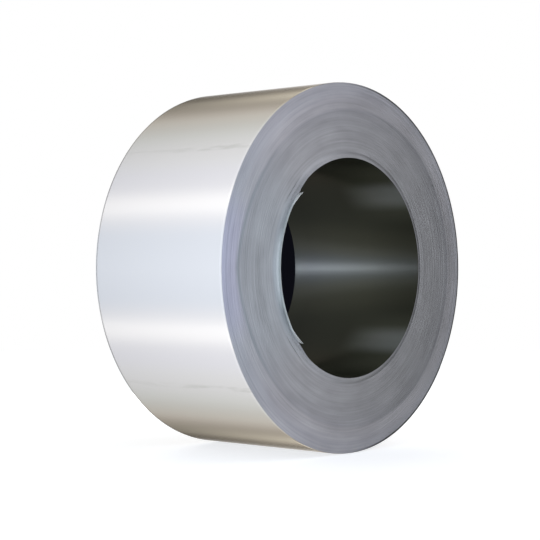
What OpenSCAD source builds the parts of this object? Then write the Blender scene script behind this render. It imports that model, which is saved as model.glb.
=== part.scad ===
// Slit coil of bare aluminium strip for roll-forming rain gutters.
// One strip wound tight on a mandrel and drawn off it: a turned solid with its bore.
// The coil lies on its side. Its axis runs along Y at the coil's radius above the floor,
// and the origin is on the floor under the middle of the coil. Millimetres, +Z up.

/* [Strip] */
// Width of the slit strip
strip_w = 400; // [250:1:600]
// Thickness of the strip, one turn of the wall
gauge = 0.7; // [0.5:0.05:1.5]

/* [Coil] */
// Bore that the expanding mandrel left
bore_d = 508; // [406:1:610]
// Turns in the wall
turns = 250; // [120:1:400]

/* [Ends] */
// Turns that stand together as one band on the end faces
band_turns = 6; // [4:1:15]
// Share of the wall, from the outside, whose bands stand foremost
fore_share = 0.37; // [0.1:0.01:0.6]
// How far the bands within them have slid back
step = 1; // [0:0.1:3]
// How far neighbouring bands wander to and fro
wander = 1; // [0:0.1:1.5]

/* [Eye] */
// How far the mandrel drew the innermost band out of the front end
drawn_out = 5; // [0:0.5:10]
// Bands that came out with it, each less than the one within it
drawn_bands = 3; // [1:1:6]
// How much further out the lip stands, at the left of the eye
lip_out = 4; // [2:0.5:12]
// How far round the eye the lip reaches each way from there, in degrees
lip_reach = 43; // [20:1:80]
// Turns in the lip
lip_turns = 4; // [2:1:4]

/* [Hidden] */
$fn = 180;
// Turn from one band to the next that keeps their wander from repeating
GOLDEN_ANGLE = 137.508;
bore_r = bore_d / 2;
coil_r = bore_r + turns * gauge;
bands = ceil(turns / band_turns);
// The step between two bands leans over by half a turn, as the sheared edge is rounded
lean = gauge / 2;
// How deep the lip is rooted in the innermost band
lip_root = 2;
// Place of the outermost band along the axis. It puts the origin midway from the lip's front to
// the rearmost band.
fore_y = (drawn_out + lip_out - step - wander) / 2;

// Radius at which band i begins, counted from the bore. The last band ends at the outside.
function band_r(i) = min(coil_r, bore_r + i * band_turns * gauge);

// Place of band i along the axis. The strip is equally wide all along, so both ends follow it.
// The first band outside the drawn ones is the rearmost, and the outermost band stands foremost.
function band_y(i) =
    fore_y
    + (i < drawn_bands ? -drawn_out * (1 - i / drawn_bands)
       : i == drawn_bands ? step + wander
       : i == bands - 1 ? 0
       : (i < bands * (1 - fore_share) ? step : 0) + wander * (1 + sin(i * GOLDEN_ANGLE)) / 2);

// Section of one end, [radius, distance along the axis], from the bore to the outside.
// side is -1 for the front end and 1 for the back end.
// Each band is flat, and a short cone joins it to the next one.
function end_outline(side) =
    [for (i = [0 : bands - 1])
        for (r = [band_r(i) + (i > 0 ? lean : 0), band_r(i + 1)])
            [r, side * strip_w / 2 + band_y(i)]];

function reversed(points) = [for (i = [len(points) - 1 : -1 : 0]) points[i]];

// The wall of the coil, turned about Z.
module wall() {
    rotate_extrude()
    polygon(concat(end_outline(-1), reversed(end_outline(1))));
}

// The lip: the first few turns at the left of the eye, which came out furthest. It is a short tube
// cut aslant, so that it tapers off into the wall up and down from there.
module lip() {
    root_y = band_y(0) - strip_w / 2;
    tip_y = root_y - lip_out;
    slant = atan(lip_out / (bore_r * (1 - cos(lip_reach))));
    intersection() {
        translate([0, 0, tip_y])
        difference() {
            cylinder(r = bore_r + lip_turns * gauge, h = lip_out + lip_root);
            translate([0, 0, -1])
            cylinder(r = bore_r, h = lip_out + lip_root + 2);
        }
        translate([-bore_r, 0, tip_y])
        rotate([0, -slant, 0])
        translate([-bore_r, -bore_r, 0])
        cube(2 * bore_r);
    }
}

// The whole wound coil, laid down with its axis along Y.
module strip_coil() {
    color([0.76, 0.77, 0.79])
    translate([0, 0, coil_r])
    rotate([-90, 0, 0]) {
        wall();
        lip();
    }
}

strip_coil();
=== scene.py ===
import math

import bpy
import numpy as np
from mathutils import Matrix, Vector


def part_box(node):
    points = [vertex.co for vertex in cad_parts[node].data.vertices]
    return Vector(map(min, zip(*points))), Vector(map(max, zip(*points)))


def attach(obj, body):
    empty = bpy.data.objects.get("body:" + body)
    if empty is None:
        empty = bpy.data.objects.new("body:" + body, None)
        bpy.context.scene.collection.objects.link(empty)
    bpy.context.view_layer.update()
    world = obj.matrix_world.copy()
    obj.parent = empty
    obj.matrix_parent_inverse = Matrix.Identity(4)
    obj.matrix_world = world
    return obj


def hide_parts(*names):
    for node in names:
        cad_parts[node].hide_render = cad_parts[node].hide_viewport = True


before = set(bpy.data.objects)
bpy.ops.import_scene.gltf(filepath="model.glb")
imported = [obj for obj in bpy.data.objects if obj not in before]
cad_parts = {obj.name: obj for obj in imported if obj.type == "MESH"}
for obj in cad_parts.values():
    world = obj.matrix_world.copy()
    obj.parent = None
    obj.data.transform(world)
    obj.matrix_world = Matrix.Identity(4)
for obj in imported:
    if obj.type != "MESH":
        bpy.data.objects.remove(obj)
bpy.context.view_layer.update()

# One aluminium strip, slit to width and wound into a coil for roll-forming gutters. The coil lies on
# its side with its axis along Y, and the end that shows faces -Y. Lengths are in metres.

MM = 0.001
LOW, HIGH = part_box("strip_coil")

# ---- the strip and its winding, as in the solid ----

GAUGE = 0.7 * MM
TURNS = 250
STRIP_W = 400 * MM
COIL_R = (HIGH[2] - LOW[2]) / 2
AXIS_Z = LOW[2] + COIL_R
BORE_R = COIL_R - TURNS * GAUGE

DRAWN_OUT = 5 * MM
LIP_OUT = 4 * MM
# Middle of the strip along the axis, at a lap that stands foremost
FORE_Y = LOW[1] + STRIP_W / 2 + DRAWN_OUT + LIP_OUT

# ---- what the solid has only in a few bands of turns, or leaves out ----

# How far the slid laps stand back, over how many turns that step spreads, and how far the laps
# wander. The slow wander changes over a few laps and has most of the share. The quick one changes
# within a lap.
STEP = 0.6 * MM
STEP_TURNS = 14
WANDER = 0.6 * MM
SLOW_TURNS = 2.7
SLOW_SHARE = 0.85
QUICK_TURNS = 0.45
WANDER_SEED = 41
# The slid laps end at turn SLID_TURNS over and under the left half of the eye, and SLID_MORE turns
# further out at the left itself and on the right. The angles are degrees off the left: their border
# comes in from the left as far as the first one, and goes out from the second one to the third.
SLID_TURNS = 157
SLID_MORE = 26
SLID_LEFT = 50
SLID_RIGHT = 65
SLID_FAR_RIGHT = 145
# The laps at the bore that are drawn out
DRAWN_TURNS = 18
# Air between two turns, and the rounded corner that the slitter's knives leave on the edge. The
# mandrel has rubbed the corners of the turns at the eye down further, and the handling has pressed
# the outermost turn's corners down over a wider strip.
AIR = 0.02 * MM
ROLLOVER = 0.15 * MM
RUBBED_W = 0.25 * MM
RUBBED_H = 0.55 * MM
PRESSED_W = 3 * MM
PRESSED_H = 0.55 * MM
# The winding starts under the upper tail of the sprung end, and the outer end lies low on the far
# side. Angles are in degrees, counter-clockwise from +X for someone who looks at the front end.
# LAST_TURN is the last one at the end's angle that stays inside the solid, which has full rings.
LEFT = 180
START_ANGLE = 136
END_ANGLE = 325
LAST_TURN = TURNS - 2 + (END_ANGLE - START_ANGLE) / 360
# The sprung end: from the left of the eye it reaches this far up and down, in degrees, and its last
# stretch leaves the wall and points into the eye. Two more turns have come along with it, each a
# little shorter, less sprung and less far out than the one within it.
SPRUNG_TURNS = 3
SPRUNG_REACH = 43.5
SPRUNG_SHORTER = 0.9
SPRUNG_TAIL = 10.5
SPRUNG_LIFT = 7.5 * MM
SPRUNG_LESS_LIFT = 1.2 * MM
SPRUNG_BACK = 1.33 * MM
# The turns next to the tails have sagged after them, each less than the one within it, and a gap
# opens between them and the tight wall. The stretch that sags has its middle this far off the left,
# and reaches so many degrees each way.
SAG_TURNS = 19
SAG = 2.5 * MM
SAG_GAP = 1.2 * MM
SAG_CENTRE = 42
SAG_HALF = 13
# The turns at which the eye's turns end and the wall is split into two pieces
EYE_END = 20
WALL_SPLIT = 130
# Steps on each turn's circle: in the eye, in the wall, and on the outermost turn, whose outline
# shows. The last is for the whole arc of a sprung turn.
EYE_STEPS = 360
WALL_STEPS = 128
OUTLINE_STEPS = 720
SPRUNG_STEPS = 240
# Edges that stand at less than this to each other are shaded as one smooth surface
SMOOTH_BELOW = math.radians(30)


# ---- shapes ----

def smooth_step(x):
    """0 below 0, 1 above 1, and 3x^2 - 2x^3 between."""
    x = np.clip(x, 0, 1)
    return x * x * (3 - 2 * x)


def from_left(angle):
    """How far an angle is from the left of the eye, up or down, in degrees from 0 to 180."""
    return np.abs((angle - LEFT + 180) % 360 - 180)


def lap_wander(turn):
    """How far each lap wanders along the axis, from 0 to 1. A slow and a quick row of random numbers
    along the strip are joined by straight lines and added by their shares."""
    rng = np.random.default_rng(WANDER_SEED)
    past_the_end = TURNS + 4
    slow_at = np.arange(0, past_the_end, SLOW_TURNS)
    quick_at = np.arange(0, past_the_end, QUICK_TURNS)
    slow = np.interp(turn, slow_at, rng.random(slow_at.size))
    quick = np.interp(turn, quick_at, rng.random(quick_at.size))
    return SLOW_SHARE * slow + (1 - SLOW_SHARE) * quick


def lap_y(turn, angle):
    """Place of a lap along the axis, as for the solid's bands: the outer laps stand foremost, the
    others have slid back a step, and the laps at the bore are drawn out with the mandrel. The
    wander comes on top, and fades away at the bore."""
    off_left = from_left(angle)
    further = np.clip(1 - off_left / SLID_LEFT, 0, 1) ** 2
    further += smooth_step((off_left - SLID_RIGHT) / (SLID_FAR_RIGHT - SLID_RIGHT))
    slid_end = SLID_TURNS + SLID_MORE * further
    slid = STEP * smooth_step((slid_end - turn) / STEP_TURNS)
    drawn = np.clip(1 - turn / DRAWN_TURNS, 0, 1) ** 2
    return FORE_Y + (slid + WANDER * lap_wander(turn)) * (1 - drawn) - DRAWN_OUT * drawn


def sag(turn, angle):
    """How far a lap has sagged into the eye beside the tails: a share that falls evenly with the
    turn, and the gap, times a cosine hump over the sagging stretch."""
    off_centre = np.abs(from_left(angle) - SAG_CENTRE) / SAG_HALF
    hump = 0.5 + 0.5 * np.cos(np.pi * np.clip(off_centre, 0, 1))
    share = np.clip(1 - turn / SAG_TURNS, 0, 1)
    return hump * (SAG * share + SAG_GAP * (turn < SAG_TURNS))


def mesh_object(name, points, quads, caps, uv_across, uv_along, slots, materials):
    """Makes a mesh from arrays: quads first, then the two end caps, which have one corner for each
    point of the section."""
    sides = caps.shape[1]
    mesh = bpy.data.meshes.new(name)
    mesh.vertices.add(len(points))
    mesh.vertices.foreach_set("co", points.astype(np.float32).ravel())
    corners = np.concatenate([quads.ravel(), caps.ravel()]).astype(np.int32)
    mesh.loops.add(len(corners))
    mesh.loops.foreach_set("vertex_index", corners)
    starts = np.concatenate([
        np.arange(len(quads)) * 4,
        quads.size + np.arange(len(caps)) * sides,
    ]).astype(np.int32)
    mesh.polygons.add(len(starts))
    mesh.polygons.foreach_set("loop_start", starts)
    mesh.polygons.foreach_set("material_index", slots.astype(np.int32))
    mesh.update(calc_edges=True)
    uv = mesh.uv_layers.new(name="strip")
    pairs = np.stack([uv_across, uv_along], axis=-1)
    uv.data.foreach_set("uv", pairs.astype(np.float32).ravel())
    for material in materials:
        mesh.materials.append(material)
    mesh.shade_smooth()
    mesh.set_sharp_from_angle(angle=SMOOTH_BELOW)
    made = bpy.data.objects.new(name, mesh)
    bpy.context.scene.collection.objects.link(made)
    return made


def plain_section(corner_w=ROLLOVER, corner_h=ROLLOVER):
    """The strip's section: a thin rectangle with the two outer corners cut off, corner_w across
    the strip and corner_h deep. Returns the points' heights over the inner side, their places
    across the strip, and which finish each side has: 0 sheared edge, 1 outside of the strip,
    2 inside."""
    thick = GAUGE - AIR
    half = STRIP_W / 2
    radial = np.array([0, thick - corner_h, thick, thick, thick - corner_h, 0])
    axial = np.array([-half, -half, corner_w - half, half - corner_w, half, half])
    return radial, axial, np.array([0, 0, 1, 0, 0, 2])


def pressed_section():
    """The section of the outermost turn: the same rectangle, with a wide shallow slope at each
    outer corner, and a line of points beside it that keeps the rest flat."""
    thick = GAUGE - AIR
    half = STRIP_W / 2
    low = thick - PRESSED_H
    radial = np.array([0, low, thick, thick, thick, thick, low, 0])
    outwards = np.array([half, half, half - PRESSED_W, half - 2 * PRESSED_W])
    axial = np.concatenate([-outwards, outwards[::-1]])
    return radial, axial, np.array([0, 1, 1, 1, 1, 1, 0, 2])


def carry_section(name, section, angle, inner_r, middle_y, materials):
    """Carries the strip's section along a path round the coil's axis. At each point of the path the
    section stands at that angle, with its inner side at inner_r and its middle at middle_y."""
    radial, axial, finish = section
    sides = radial.size

    # The section's points at each step
    turn_by = np.radians(angle)[:, None]
    r = inner_r[:, None] + radial
    y = middle_y[:, None] + axial
    points = np.stack([r * np.cos(turn_by), y, AXIS_Z + r * np.sin(turn_by)], axis=-1).reshape(-1, 3)

    # A quad for each side of the section between two steps, and a cap at each end
    along = np.arange(len(angle) - 1)[:, None] * sides
    here = np.arange(sides)
    after = (here + 1) % sides
    quads = np.stack([along + here, along + after, along + sides + after, along + sides + here], axis=-1)
    quads = quads.reshape(-1, 4)
    last = (len(angle) - 1) * sides
    caps = np.array([here[::-1], last + here])

    # UV in metres: U goes round the section, and V along the strip
    walked = np.cumsum(np.hypot(np.diff(radial, append=radial[0]), np.diff(axial, append=axial[0])))
    across = np.concatenate([[0], walked])
    steps = np.hypot(np.diff(inner_r), inner_r[1:] * np.diff(turn_by[:, 0]))
    lengthwise = np.concatenate([[0], np.cumsum(steps)])
    u = np.stack([across[:-1], across[1:], across[1:], across[:-1]], axis=-1)
    u = np.tile(u, (len(along), 1))
    v = np.stack([lengthwise[:-1], lengthwise[:-1], lengthwise[1:], lengthwise[1:]], axis=-1)
    v = np.repeat(v, sides, axis=0)
    u = np.concatenate([u.ravel(), across[caps % sides].ravel()])
    v = np.concatenate([v.ravel(), np.repeat(lengthwise[[0, -1]], sides)])

    slots = np.concatenate([np.tile(finish, len(along)), [0, 0]])
    return mesh_object(name, points, quads, caps, u, v, slots, materials)


def wind(name, section, first_turn, last_turn, steps_per_turn, materials):
    """A stretch of the wound strip: a spiral whose radius grows by one gauge each turn, with the
    laps' places along the axis and their sag beside the tails."""
    steps = round((last_turn - first_turn) * steps_per_turn)
    turn = np.linspace(first_turn, last_turn, steps + 1)
    angle = START_ANGLE + 360 * turn
    inner_r = BORE_R + GAUGE * turn - sag(turn, angle)
    return carry_section(name, section, angle, inner_r, lap_y(turn, angle), materials)


def sprung_turn(name, out, materials):
    """One of the turns at the free inner end of the strip, pulled forward with the mandrel. out
    counts them from the innermost one. It is an arc against the wall on the left of the eye, whose
    last stretch at the top and at the bottom is a straight line into the eye."""
    reach = SPRUNG_REACH - SPRUNG_SHORTER * out
    off_left = np.linspace(-reach, reach, SPRUNG_STEPS + 1)
    tail = (np.abs(off_left) - (SPRUNG_REACH - SPRUNG_TAIL)) / SPRUNG_TAIL
    lift = (SPRUNG_LIFT - SPRUNG_LESS_LIFT * out) * np.clip(tail, 0, 1)
    inner_r = BORE_R - GAUGE * (SPRUNG_TURNS - out) - lift
    middle_y = np.full(off_left.size, FORE_Y - DRAWN_OUT - LIP_OUT + SPRUNG_BACK * out)
    section = plain_section(RUBBED_W, RUBBED_H)
    return carry_section(name, section, LEFT + off_left, inner_r, middle_y, materials)


# ---- nodes ----

WHITE = (1, 1, 1, 1)


def linear(hex_colour):
    """An sRGB hex colour such as "#C0C4C8" as linear red, green, blue and alpha."""
    parts = [int(hex_colour[i:i + 2], 16) / 255 for i in (1, 3, 5)]
    return [*(c / 12.92 if c <= 0.04045 else ((c + 0.055) / 1.055) ** 2.4 for c in parts), 1]


def add(tree, kind, inputs=(), **settings):
    """Adds a node of this kind. settings are its own values, and inputs says for each socket either
    a value or the output that is linked to it."""
    made = tree.nodes.new(kind)
    for key, value in settings.items():
        setattr(made, key, value)
    for socket, value in dict(inputs).items():
        if isinstance(value, bpy.types.NodeSocket):
            tree.links.new(value, made.inputs[socket])
        else:
            made.inputs[socket].default_value = value
    return made


def calculate(tree, operation, *values):
    """The result of a math node."""
    return add(tree, "ShaderNodeMath", enumerate(values), operation=operation).outputs[0]


def ramp(tree, value, start, end, low=0, high=1, smooth=False):
    """low as far as start and high from end on, with a straight or a smooth rise between."""
    inputs = {"Value": value, "From Min": start, "From Max": end, "To Min": low, "To Max": high}
    kind = "SMOOTHSTEP" if smooth else "LINEAR"
    return add(tree, "ShaderNodeMapRange", inputs, interpolation_type=kind).outputs[0]


def colour_mix(tree, share, first, second):
    """The first colour where share is 0, the second one where it is 1."""
    return add(tree, "ShaderNodeMix", {0: share, 6: first, 7: second}, data_type="RGBA").outputs[2]


def scaled(tree, vector, by):
    """A colour or vector times a number."""
    return add(tree, "ShaderNodeVectorMath", {0: vector, "Scale": by}, operation="SCALE").outputs[0]


def multiplied(tree, vector, by):
    """A colour or vector times another, part by part."""
    return add(tree, "ShaderNodeVectorMath", {0: vector, 1: by}, operation="MULTIPLY").outputs[0]


def noise(tree, place, detail):
    """Soft noise from 0 to 1, with one patch to a unit of place."""
    return add(tree, "ShaderNodeTexNoise", {"Vector": place, "Scale": 1, "Detail": detail}).outputs[0]


def length(tree, vector):
    """How long a vector is."""
    return add(tree, "ShaderNodeVectorMath", {0: vector}, operation="LENGTH").outputs["Value"]


def dot(tree, vector, other):
    """The dot product of two vectors."""
    return add(tree, "ShaderNodeVectorMath", {0: vector, 1: other}, operation="DOT_PRODUCT").outputs["Value"]


def components(tree, vector):
    """A vector's X, Y and Z."""
    return add(tree, "ShaderNodeSeparateXYZ", {0: vector}).outputs


def by_stops(tree, value, stops):
    """A colour by value, through stops of (place, colour). A colour is a hex one, or one number for
    red, green and blue."""
    made = add(tree, "ShaderNodeValToRGB", {0: value})
    elements = made.color_ramp.elements
    elements.remove(elements[-1])
    for i, (place, colour) in enumerate(stops):
        element = elements[0] if i == 0 else elements.new(place)
        element.position = place
        element.color = linear(colour) if isinstance(colour, str) else (colour, colour, colour, 1)
    return made.outputs[0]


def new_finish(name):
    """An empty material and its tree."""
    material = bpy.data.materials.new(name)
    material.use_nodes = True
    material.node_tree.nodes.clear()
    return material, material.node_tree


def finish_with(tree, shader):
    """Puts this shader on the surface."""
    add(tree, "ShaderNodeOutputMaterial", {"Surface": shader.outputs[0]})


# ---- finishes ----

# Height of the scuffs over and under the axis, as a share of the radius
SCUFF_HEIGHT = 0.616
# The middle of the painted highlight bands inside the eye, from the nearer end of the X axis, and the line
# in them that is painted palest
EYE_HIGHLIGHT_ANGLE = math.radians(50)
EYE_HIGHLIGHT_LINE_ANGLE = math.radians(44)


def place_on_coil(tree):
    """Where a point is on the coil: its distance from the axis and its y in metres, and its
    direction from the axis as a vector of length 1, whose X is -1 at the left and 1 at the right."""
    place = add(tree, "ShaderNodeTexCoord").outputs["Object"]
    place = add(tree, "ShaderNodeMapping", {"Vector": place, "Location": (0, 0, -AXIS_Z)}).outputs[0]
    xyz = components(tree, place)
    flat = add(tree, "ShaderNodeCombineXYZ", {"X": xyz["X"], "Z": xyz["Z"]}).outputs[0]
    direction = add(tree, "ShaderNodeVectorMath", {0: flat}, operation="NORMALIZE").outputs[0]
    return length(tree, flat), xyz["Y"], direction


def round_the_coil(tree, radius, direction, arc, ring):
    """A place for a pattern that runs round the coil. One unit of it is arc metres round the
    outside, or ring metres away from the axis."""
    along = scaled(tree, direction, COIL_R / arc)
    rings = calculate(tree, "MULTIPLY", radius, 1 / ring)
    outwards = add(tree, "ShaderNodeCombineXYZ", {"Y": rings}).outputs[0]
    return add(tree, "ShaderNodeVectorMath", {0: along, 1: outwards}, operation="ADD").outputs[0]


def slid_end_radius(tree, unit):
    """The radius where the slid turns end, as in lap_y, by the direction from the axis."""
    height = calculate(tree, "ABSOLUTE", unit["Z"])
    leftwards = calculate(tree, "MULTIPLY", unit["X"], -1)
    off_left = calculate(tree, "ARCTAN2", height, leftwards)
    at_left = calculate(tree, "POWER", ramp(tree, off_left, math.radians(SLID_LEFT), 0), 2)
    at_right = ramp(tree, off_left, math.radians(SLID_RIGHT), math.radians(SLID_FAR_RIGHT), smooth=True)
    further = calculate(tree, "ADD", at_left, at_right)
    return calculate(tree, "MULTIPLY_ADD", further, SLID_MORE * GAUGE, BORE_R + SLID_TURNS * GAUGE)


def sheared_edge():
    """Sheared aluminium edges, hundreds side by side. The slitter's knives leave each one half burnished and
    half torn, so together they are a matt grey with faint rings and clouds. The outer turns, which haven't
    slid, are lighter. The first slid ones, just inside the step, are painted darkest, as painted shade of
    the step, and more painted light and shade is added below."""
    material, tree = new_finish("sheared_aluminium_edge")
    radius, _, direction = place_on_coil(tree)
    unit = components(tree, direction)
    beyond = calculate(tree, "SUBTRACT", radius, slid_end_radius(tree, unit))
    # Painted shade: the tone dips just inside the slid turns' border, as the shade of the step.
    tone = by_stops(tree, ramp(tree, beyond, -120 * MM, 40 * MM), [
        (0.0, "#9E9FA2"), (0.03, "#9C9D9F"), (0.07, "#98999A"), (0.375, "#979899"), (0.6875, "#949597"),
        (0.73, "#929396"), (0.765, "#9C9C9E"), (0.8, "#A0A0A2"), (0.9, "#A1A1A4"), (1.0, "#A1A2A6"),
    ])
    # Rings 260 mm long and 4 mm apart, and clouds of 130 by 33 mm
    place = round_the_coil(tree, radius, direction, 260 * MM, 4 * MM)
    rings = noise(tree, place, 3)
    clouds = noise(tree, multiplied(tree, place, (2, 0.12, 2)), 2)
    light = ramp(tree, calculate(tree, "ADD", rings, clouds), 0.6, 1.4, low=0.82, high=1.18)
    # The slid turns are painted darker on the right, above and below its middle: painted shade, as the light
    # falls off across the end.
    slid = ramp(tree, beyond, 4 * MM, -4 * MM)
    rightwards = ramp(tree, unit["X"], 0.3, 0.6, smooth=True)
    off_axis = ramp(tree, unit["X"], 1, 0.8)
    right_painted_shade = calculate(tree, "MULTIPLY", calculate(tree, "MULTIPLY", rightwards, off_axis), slid)
    light = calculate(tree, "MULTIPLY", light, ramp(tree, right_painted_shade, 0, 1, low=1, high=0.91))
    colour = scaled(tree, tone, light)
    # On the left the border of the slid turns is painted darker, as painted shade of the step. The whole end
    # is painted cooler on the left, and the outer turns bluer at the far left, as painted bluish light.
    left = ramp(tree, unit["X"], -0.62, -0.97, smooth=True)
    far_left = ramp(tree, unit["X"], -0.9, -1, smooth=True)
    off_border = calculate(tree, "ABSOLUTE", calculate(tree, "ADD", beyond, 4 * MM))
    border = ramp(tree, off_border, 7 * MM, 1 * MM, high=0.5, smooth=True)
    border = calculate(tree, "MULTIPLY", border, left)
    colour = colour_mix(tree, border, colour, linear("#7C8387"))
    outer = ramp(tree, beyond, -4 * MM, 8 * MM)
    left_painted_cool_light = colour_mix(tree, left, WHITE, (0.96, 1.01, 1.03, 1))
    painted_light_tint = colour_mix(tree, calculate(tree, "MULTIPLY", outer, far_left), left_painted_cool_light, (1.02, 1.06, 1.22, 1))
    colour = multiplied(tree, colour, painted_light_tint)
    # The turns at the left of the bore are painted pale and less rough: a painted highlight of the rim
    # there.
    inwards = ramp(tree, radius, BORE_R + 15 * GAUGE, BORE_R - 3 * GAUGE)
    painted_rim_highlight = ramp(tree, calculate(tree, "MULTIPLY", inwards, far_left), 0, 1, smooth=True)
    colour = colour_mix(tree, painted_rim_highlight, colour, linear("#DDE2E3"))
    # The outermost edges on the right are painted dark: painted shade along that side of the outline.
    outermost = ramp(tree, radius, COIL_R - 8 * GAUGE, COIL_R - 6 * GAUGE)
    right = ramp(tree, unit["X"], -0.1, 0.35, smooth=True)
    colour = colour_mix(tree, calculate(tree, "MULTIPLY", outermost, right), colour, linear("#303032"))
    finish_with(tree, add(tree, "ShaderNodeBsdfPrincipled", {
        "Base Color": colour,
        "Metallic": 1,
        "Roughness": ramp(tree, painted_rim_highlight, 0, 1, low=0.5, high=0.4),
    }))
    return material


def burnished_highlit_edge():
    """The sprung end's sheared edges, which the mandrel has rubbed smooth as it pulled them out: a light
    silvery grey, with faint rings. Their lightness is partly that rubbing and partly a painted highlight of
    the bright rim at the left of the eye."""
    material, tree = new_finish("burnished_aluminium_edge_with_painted_highlight")
    radius, _, direction = place_on_coil(tree)
    rings = noise(tree, round_the_coil(tree, radius, direction, 60 * MM, 3 * MM), 2)
    finish_with(tree, add(tree, "ShaderNodeBsdfPrincipled", {
        "Base Color": colour_mix(tree, ramp(tree, rings, 0.3, 0.7), linear("#BCC2C0"), linear("#DCE2E0")),
        "Metallic": 1,
        "Roughness": 0.4,
    }))
    return material


def along_the_strip(tree):
    """The direction of the grind, from the pieces' UV."""
    return add(tree, "ShaderNodeTangent", direction_type="UV_MAP", uv_map="strip").outputs[0]


def mill_finish():
    """Mill-finish aluminium, cold rolled and left bare. The rolls' grind runs along the strip, so
    lights are drawn out across it into soft bands that go round with the coil. A faint scuff crosses
    the outer turn above and below, and fades towards the back end."""
    material, tree = new_finish("mill_finish_aluminium")
    _, y, direction = place_on_coil(tree)
    height = calculate(tree, "ABSOLUTE", components(tree, direction)["Z"])
    aside = calculate(tree, "ABSOLUTE", calculate(tree, "SUBTRACT", height, SCUFF_HEIGHT))
    near = ramp(tree, aside, 0.004, 0.02, low=1, high=0, smooth=True)
    # Patches of 14 mm round the coil and 45 mm along its axis
    place = add(tree, "ShaderNodeTexCoord").outputs["Object"]
    patchy = ramp(tree, noise(tree, multiplied(tree, place, (70, 22, 70)), 2), 0.38, 0.62)
    scuff = calculate(tree, "MULTIPLY", near, patchy)
    scuff = calculate(tree, "MULTIPLY", scuff, ramp(tree, y, 100 * MM, -100 * MM, low=0.15, high=0.4))
    finish_with(tree, add(tree, "ShaderNodeBsdfPrincipled", {
        "Base Color": colour_mix(tree, scuff, linear("#E6E6E8"), linear("#C2C4C0")),
        "Metallic": 1,
        "Roughness": 0.2,
        "Anisotropic": 0.6,
        "Tangent": along_the_strip(tree),
    }))
    return material


def strip_back():
    """The back of the strip, which is the inside of the eye. It keeps the film of rolling oil and the thin
    wash coat of the mill, and is a dark olive grey with a metal sheen, which the grind draws out along the
    eye. It is painted darkest deep inside, as painted shade. Towards the front it is painted paler in bands
    at about 50 degrees above and below each side, palest along one line in them: a painted highlight of the
    soft glow inside the eye."""
    material, tree = new_finish("wash_coated_strip_back")
    _, y, direction = place_on_coil(tree)
    unit = components(tree, direction)
    height = calculate(tree, "ABSOLUTE", unit["Z"])
    aside = calculate(tree, "ABSOLUTE", unit["X"])
    # In radians from the nearer end of the X axis
    angle = calculate(tree, "ARCTAN2", height, aside)
    off_highlight = calculate(tree, "ABSOLUTE", calculate(tree, "SUBTRACT", angle, EYE_HIGHLIGHT_ANGLE))
    off_highlight_line = calculate(tree, "ABSOLUTE", calculate(tree, "SUBTRACT", angle, EYE_HIGHLIGHT_LINE_ANGLE))
    # Painted highlight: paler bands towards the front of the eye, palest along one line in them.
    frontward = ramp(tree, y, -10 * MM, -200 * MM, smooth=True)
    highlight_band = calculate(tree, "MULTIPLY", ramp(tree, off_highlight, 0.5, 0.2, smooth=True), frontward)
    middle = calculate(tree, "MULTIPLY", ramp(tree, off_highlight_line, 0.21, 0.04, smooth=True), frontward)
    # Painted shade: darker deep inside the eye.
    colour = colour_mix(tree, ramp(tree, y, 140 * MM, -50 * MM), linear("#1C1D17"), linear("#292A21"))
    colour = colour_mix(tree, highlight_band, colour, linear("#424338"))
    colour = colour_mix(tree, middle, colour, linear("#6E706C"))
    finish_with(tree, add(tree, "ShaderNodeBsdfPrincipled", {
        "Base Color": colour,
        "Metallic": 0.2,
        "Roughness": 0.3,
        "Specular IOR Level": 0.07,
        "Anisotropic": 0.9,
        "Tangent": along_the_strip(tree),
    }))
    return material


# ---- the coil ----

FINISHES = [sheared_edge(), mill_finish(), strip_back()]
SPRUNG_FINISHES = [burnished_highlit_edge(), *FINISHES[1:]]

coil_pieces = [
    sprung_turn("sprung_end", 0, SPRUNG_FINISHES),
    sprung_turn("second_sprung_turn", 1, SPRUNG_FINISHES),
    sprung_turn("third_sprung_turn", 2, SPRUNG_FINISHES),
    wind("eye_turns", plain_section(RUBBED_W, RUBBED_H), 0, EYE_END, EYE_STEPS, FINISHES),
    wind("inner_wall", plain_section(), EYE_END, WALL_SPLIT, WALL_STEPS, FINISHES),
    wind("outer_wall", plain_section(), WALL_SPLIT, LAST_TURN - 1, WALL_STEPS, FINISHES),
    wind("outermost_turn", pressed_section(), LAST_TURN - 1, LAST_TURN, OUTLINE_STEPS, FINISHES),
]
for piece in coil_pieces:
    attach(piece, "root")
    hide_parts("strip_coil")

# ---- camera ----

# The view is level, and turned this far from +Y towards +X. The middle of the front end lies this
# far before the camera, this far to the right of its line and this far above it.
VIEW_AZIMUTH = math.radians(47.58)
FACE_DISTANCE = 8.144 * COIL_R
FACE_ASIDE = 0.4353 * COIL_R
FACE_UP = 0.0108 * COIL_R
LENS = 100.7

forward = Vector((math.sin(VIEW_AZIMUTH), math.cos(VIEW_AZIMUTH), 0))
right = Vector((math.cos(VIEW_AZIMUTH), -math.sin(VIEW_AZIMUTH), 0))
face_centre = Vector((0, FORE_Y - STRIP_W / 2, AXIS_Z))

camera_data = bpy.data.cameras.new("camera")
camera_data.lens = LENS
camera_data.sensor_width = 36
camera_data.clip_end = 100
camera = bpy.data.objects.new("camera", camera_data)
camera.location = face_centre - forward * FACE_DISTANCE - right * FACE_ASIDE - Vector((0, 0, FACE_UP))
camera.rotation_mode = "QUATERNION"
camera.rotation_quaternion = forward.to_track_quat("-Z", "Y")
bpy.context.scene.collection.objects.link(camera)
bpy.context.scene.camera = camera

# ---- studio ----

DOME_STRENGTH = 1.35
BACK_STRENGTH = 1.5
# The dark doorway behind the coil: how far it is turned from the camera's line, and half its width
# and height, all as seen from the coil, in radians
DOORWAY_ASIDE = 0.0133
DOORWAY_HALF_W = 0.019
DOORWAY_HALF_H = 0.042
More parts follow.
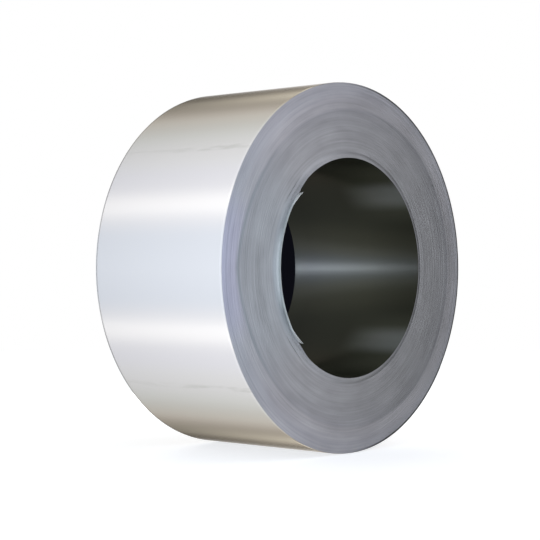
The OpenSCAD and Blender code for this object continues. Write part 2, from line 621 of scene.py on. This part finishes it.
# Metal mirrors the white backdrop up to the first angle off the doorway, and the dome from the second
BACKDROP_NEAR = math.radians(9)
BACKDROP_FAR = math.radians(15)
FLOOR_R = 4.5
FLOOR_SIDES = 96
FLOOR_GLOW = 0.5
# The lights behind the far mouth of the eye: their width, how far they stand from the middle of the
# right wall, on the camera's line as that wall mirrors it, and how far to the right of that line
EYE_LIGHT_W = 0.28
EYE_LIGHT_BACK = 0.5
EYE_LIGHT_ASIDE = 0.05


def back_dome(tree, xyz, height):
    """The dome behind the coil. Its colours go round from the left, at share 0, over the top or under
    the coil to the right, at share 1."""
    leftwards = calculate(tree, "MULTIPLY", xyz["X"], -1)
    share = calculate(tree, "MULTIPLY", calculate(tree, "ARCTAN2", height, leftwards), 1 / math.pi)
    round_it = by_stops(tree, share, [
        (0.0, "#E1E6ED"), (0.12, "#DCE1E8"), (0.17, "#E6E7EA"), (0.215, "#FEFDFC"), (0.245, "#FAF9F8"),
        (0.29, "#DEDEE1"), (0.35, "#D9D9DD"), (0.4, "#D5D5D4"), (0.46, "#CDCCCB"), (0.52, "#C1C2BD"),
        (0.58, "#B2AFA7"), (0.62, "#B7B1A6"), (0.65, "#A69E92"), (0.69, "#877F73"), (0.74, "#A49D8D"),
        (0.77, "#948C7E"), (0.8, "#443F37"), (0.85, "#504B44"), (0.9, "#989590"), (1.0, "#D0CFCD"),
    ])
    # It is brightest between the sides and the back, and has a dark curtain nearer the back.
    depth = by_stops(tree, xyz["Y"], [
        (0.3, 0.5), (0.5, 0.62), (0.58, 0.84), (0.61, 0.84),
        (0.78, 0.55), (0.85, 0.15), (0.89, 0.15), (0.93, 0.66),
    ])
    depth = calculate(tree, "MULTIPLY", depth, BACK_STRENGTH)
    # On the right it is brighter towards the side, and black towards the back.
    towards_right = ramp(tree, share, 0.705, 0.75, smooth=True)
    falling = ramp(tree, xyz["Y"], 0.6, 0.75, low=2.3, high=0)
    falling = add(tree, "ShaderNodeMix", {0: towards_right, 2: 1, 3: falling}).outputs[0]
    return scaled(tree, round_it, calculate(tree, "MULTIPLY", depth, falling))


def front_dome(tree, xyz, height):
    """The dome before the coil: pale blue in the middle, greyer at the left, dark at the far right,
    and dimmer with the height over or under the coil."""
    across = ramp(tree, xyz["X"], -1, 1)
    across = by_stops(tree, across, [
        (0.0, "#BABFC4"), (0.25, "#C0C8D0"), (0.5, "#D2E2F2"), (0.7, "#D2D5D9"), (0.87, "#CDCCCD"),
        (0.95, "#8C8C8E"), (1.0, "#707072"),
    ])
    return scaled(tree, across, ramp(tree, height, 0, 0.45, low=1.2, high=0.8))


def studio_world():
    """White to the camera and through anything clear, with a dark doorway behind the coil, in line
    with its eye. To other rays it is a soft dome: bright at the sides, with one brighter band, and
    dimmer and warmer towards the back. Only close to the doorway do mirrored rays see the white."""
    world = bpy.data.worlds.new("studio")
    bpy.context.scene.world = world
    world.use_nodes = True
    tree = world.node_tree
    tree.nodes.clear()
    toward = add(tree, "ShaderNodeTexCoord").outputs["Generated"]
    xyz = components(tree, toward)
    height = calculate(tree, "ABSOLUTE", xyz["Z"])
    facing = ramp(tree, xyz["Y"], -0.35, 0.35, smooth=True)
    dome = colour_mix(tree, facing, front_dome(tree, xyz, height), back_dome(tree, xyz, height))
    lit = add(tree, "ShaderNodeBackground", {"Color": dome, "Strength": DOME_STRENGTH})

    turned = VIEW_AZIMUTH + DOORWAY_ASIDE
    doorway = Vector((math.sin(turned), math.cos(turned), 0))
    beside = Vector((doorway.y, -doorway.x, 0))
    # It is an ellipse, where (across / half width)^2 + (above / half height)^2 is under 1.
    ahead = dot(tree, toward, doorway)
    across = calculate(tree, "MULTIPLY", dot(tree, toward, beside), 1 / DOORWAY_HALF_W)
    above = calculate(tree, "MULTIPLY", xyz["Z"], 1 / DOORWAY_HALF_H)
    offset = add(tree, "ShaderNodeCombineXYZ", {"X": across, "Y": above}).outputs[0]
    within = calculate(tree, "LESS_THAN", length(tree, offset), 1)
    dark = calculate(tree, "MULTIPLY", within, calculate(tree, "GREATER_THAN", ahead, 0))
    seen = colour_mix(tree, dark, WHITE, linear("#0C0C12"))
    seen = add(tree, "ShaderNodeBackground", {"Color": seen, "Strength": 1})

    path = add(tree, "ShaderNodeLightPath").outputs
    backdrop = ramp(tree, ahead, math.cos(BACKDROP_FAR), math.cos(BACKDROP_NEAR))
    mirrored = calculate(tree, "MULTIPLY", path["Is Glossy Ray"], backdrop)
    shown = calculate(tree, "MAXIMUM", path["Is Camera Ray"], path["Is Transmission Ray"])
    shown = calculate(tree, "MAXIMUM", shown, mirrored)
    both = add(tree, "ShaderNodeMixShader", {0: shown, 1: lit.outputs[0], 2: seen.outputs[0]})
    add(tree, "ShaderNodeOutputWorld", {"Surface": both.outputs[0]})


def studio_floor():
    """A pale floor, as a disc. For the camera it has a white glow under the light that falls on it,
    so it fades into the white behind it and keeps the coil's shadow. Metal doesn't mirror it."""
    angle = np.linspace(0, 2 * np.pi, FLOOR_SIDES + 1)[:-1]
    rim = np.stack([FLOOR_R * np.cos(angle), FLOOR_R * np.sin(angle), np.zeros(angle.size)], axis=-1)
    mesh = bpy.data.meshes.new("floor")
    mesh.from_pydata(rim.tolist(), [], [list(range(angle.size))])
    floor = bpy.data.objects.new("floor", mesh)
    bpy.context.scene.collection.objects.link(floor)
    material, tree = new_finish("pale_floor")
    paint = add(tree, "ShaderNodeBsdfDiffuse", {"Color": linear("#E8E8E8")})
    glow = add(tree, "ShaderNodeEmission", {"Color": WHITE, "Strength": FLOOR_GLOW})
    both = add(tree, "ShaderNodeAddShader", {0: paint.outputs[0], 1: glow.outputs[0]})
    path = add(tree, "ShaderNodeLightPath").outputs
    shown = calculate(tree, "MAXIMUM", path["Is Camera Ray"], path["Is Transmission Ray"])
    shown = calculate(tree, "MAXIMUM", shown, path["Is Glossy Ray"])
    finish_with(tree, add(tree, "ShaderNodeMixShader", {0: shown, 1: paint.outputs[0], 2: both.outputs[0]}))
    mesh.materials.append(material)
    floor.visible_glossy = False


def soft_light(name, place, aim, width, height, watts, spread, colour):
    """A soft box: a rectangle of light at place that faces aim, whose light spreads this many
    degrees. The camera doesn't see it."""
    data = bpy.data.lights.new(name, "AREA")
    data.shape = "RECTANGLE"
    data.size = width
    data.size_y = height
    data.energy = watts
    data.spread = math.radians(spread)
    data.color = linear(colour)[:3]
    lamp = bpy.data.objects.new(name, data)
    lamp.location = place
    lamp.rotation_mode = "QUATERNION"
    lamp.rotation_quaternion = (Vector(aim) - Vector(place)).to_track_quat("-Z", "Y")
    lamp.visible_camera = False
    bpy.context.scene.collection.objects.link(lamp)


studio_world()
studio_floor()
# A tall light at the right of the front end, which catches its near side more than its far side
soft_light("face_light", (0.5, -1.15, AXIS_Z), (-0.15, -0.2, AXIS_Z), 0.5, 1.8, 4.8, 180, "#F4EFFD")
# A light behind the coil, on its right, which lights its back end and nothing of its left side
soft_light("back_light", (0.75, 1.5, AXIS_Z), (0, 0.2, AXIS_Z), 0.8, 0.6, 11, 180, "#FFFFFF")
# Behind the far mouth of the eye a thin light draws the bright line along the inside, and taller,
# dimmer ones draw the glow round it. They stand nearer to the axis than the outside of the coil,
# which therefore doesn't catch them.
eye_wall = Vector((BORE_R, 0, AXIS_Z))
eye_back = Vector((-forward.x, forward.y, 0))
eye_aside = Vector((forward.y, forward.x, 0))
eye_aim = eye_wall + eye_aside * EYE_LIGHT_ASIDE
eye_place = eye_aim + eye_back * EYE_LIGHT_BACK
for name, height, watts, spread, colour in (
    ("eye_line", 0.012, 0.21, 60, "#D6DEF2"),
    ("eye_halo", 0.1, 0.15, 60, "#C8D6F5"),
    ("eye_glow", 0.2, 0.34, 80, "#F0F0EE"),
    ("eye_wide_glow", 0.4, 0.23, 100, "#FFF8E0"),
):
    soft_light(name, eye_place, eye_aim, EYE_LIGHT_W, height, watts, spread, colour)

bpy.context.scene.view_settings.view_transform = "Standard"
